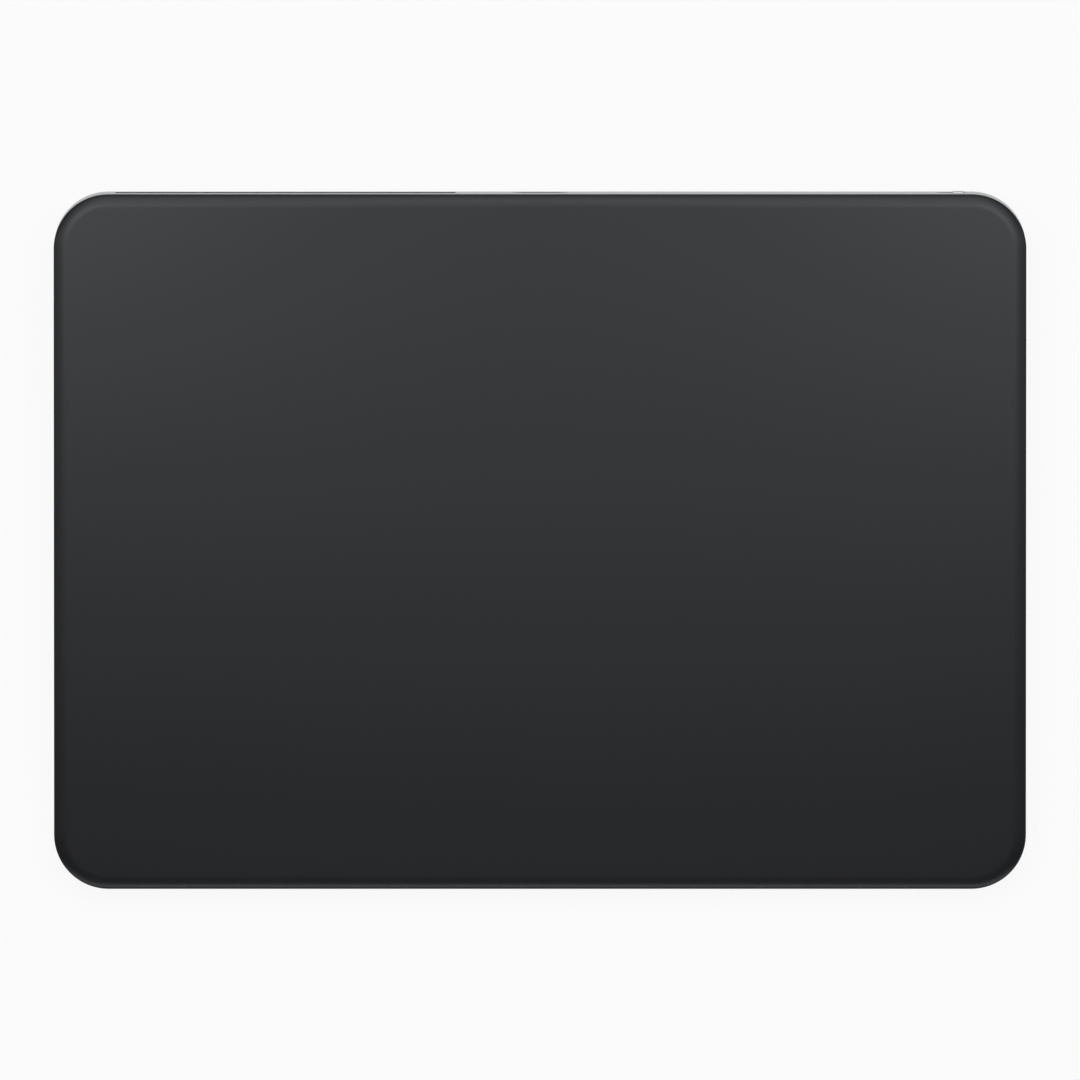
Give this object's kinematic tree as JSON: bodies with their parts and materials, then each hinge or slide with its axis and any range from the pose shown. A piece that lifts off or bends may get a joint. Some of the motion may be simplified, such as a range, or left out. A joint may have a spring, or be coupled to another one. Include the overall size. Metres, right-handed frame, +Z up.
{
  "type": "trackpad",
  "caption": "Wireless desk trackpad: matte black glass touch plate floating on spring leaves in a wedge-shaped aluminium tub, with charging port and power switch at the rear.",
  "frame": {"origin": "middle of the footprint, on the desk under the feet", "axes": "+X to the user's right, +Y to the rear edge with the port, +Z up off the desk"},
  "size_m": [0.16, 0.1149, 0.0109],
  "materials": {
    "aluminium": "bead-blasted and anodised, silver",
    "touch_glass": "black, fine matte etch",
    "window": "grey moulded plastic",
    "gasket": "soft black foam",
    "film": "black adhesive film",
    "board": "glass-fibre circuit board",
    "chip": "moulded chip package",
    "steel": "stamped sheet",
    "spring_steel": "hardened spring sheet",
    "screw": "machined",
    "iron": "soft magnetic iron",
    "copper": "enamelled winding",
    "gold": "gold-plated",
    "flex": "amber flexible print",
    "pouch": "foil pouch",
    "port_steel": "drawn stainless shell",
    "port_plastic": "black moulded insulator",
    "slider": "anodised, silver",
    "green": "green print",
    "rubber": "grey silicone",
    "gel": "clear silicone gel"
  },
  "bodies": {
    "enclosure": {"enclosure": "aluminium", "antenna_window": "window", "antenna_strip": "flex", "rim_gasket": "gasket", "haptic_tray": "steel", "haptic_core": "iron", "haptic_coils": "copper", "haptic_screws": "screw", "battery_tape": "film", "battery_cell": "pouch", "battery_guard": "board", "battery_flex": "flex", "main_board": "board", "board_chips": "chip", "board_sockets": "chip", "shield_can": "steel", "board_screws": "screw", "port_shell": "port_steel", "port_tongue": "port_plastic", "port_contacts": "gold", "port_clamp": "steel", "clamp_screws": "screw", "switch_can": "steel", "sensor_flex": "flex", "haptic_flex": "flex", "leaf_screws": "screw", "gauge_flex_left": "flex", "gauge_flex_right": "flex", "foot_front_left": "rubber", "spring_leaf_front_left": "spring_steel", "strain_gauge_front_left": "flex", "foot_front_right": "rubber", "spring_leaf_front_right": "spring_steel", "strain_gauge_front_right": "flex", "foot_rear_left": "rubber", "spring_leaf_rear_left": "spring_steel", "strain_gauge_rear_left": "flex", "foot_rear_right": "rubber", "spring_leaf_rear_right": "spring_steel", "strain_gauge_rear_right": "flex"},
    "force_pads": {"force_puck_front_left": "steel", "force_puck_front_right": "steel", "force_puck_rear_left": "steel", "force_puck_rear_right": "steel"},
    "touch_plate": {"touch_glass": "touch_glass", "bonding_film": "film", "sensor_board": "board", "touch_chips": "chip", "sensor_socket": "chip", "plate_stiffener": "steel", "haptic_attractor": "iron", "gel_pad_front_left": "gel", "gel_pad_front_right": "gel", "gel_pad_rear_left": "gel", "gel_pad_rear_right": "gel"},
    "power_slider": {"power_slider": "slider", "power_flag": "green"}
  },
  "joints": [
    {"name": "touch_press", "type": "slide", "parent": "enclosure", "child": "force_pads", "axis": [0, 0.0533, -0.9986], "range_m": [0, 0.0002], "stiffness_N_per_m": 20000, "springref_m": -0.0001, "deforming": ["spring_leaf_front_left", "spring_leaf_front_right", "spring_leaf_rear_left", "spring_leaf_rear_right", "rim_gasket", "sensor_flex"]},
    {"name": "haptic_shift", "type": "slide", "parent": "force_pads", "child": "touch_plate", "axis": [0, 0.9986, 0.0533], "range_m": [-0.0001, 0.0001], "stiffness_N_per_m": 30000, "deforming": ["gel_pad_front_left", "gel_pad_front_right", "gel_pad_rear_left", "gel_pad_rear_right", "rim_gasket", "sensor_flex"]},
    {"name": "power_switch", "type": "slide", "parent": "enclosure", "child": "power_slider", "axis": [-1, 0, 0], "range_m": [0, 0.0023]}
  ]
}
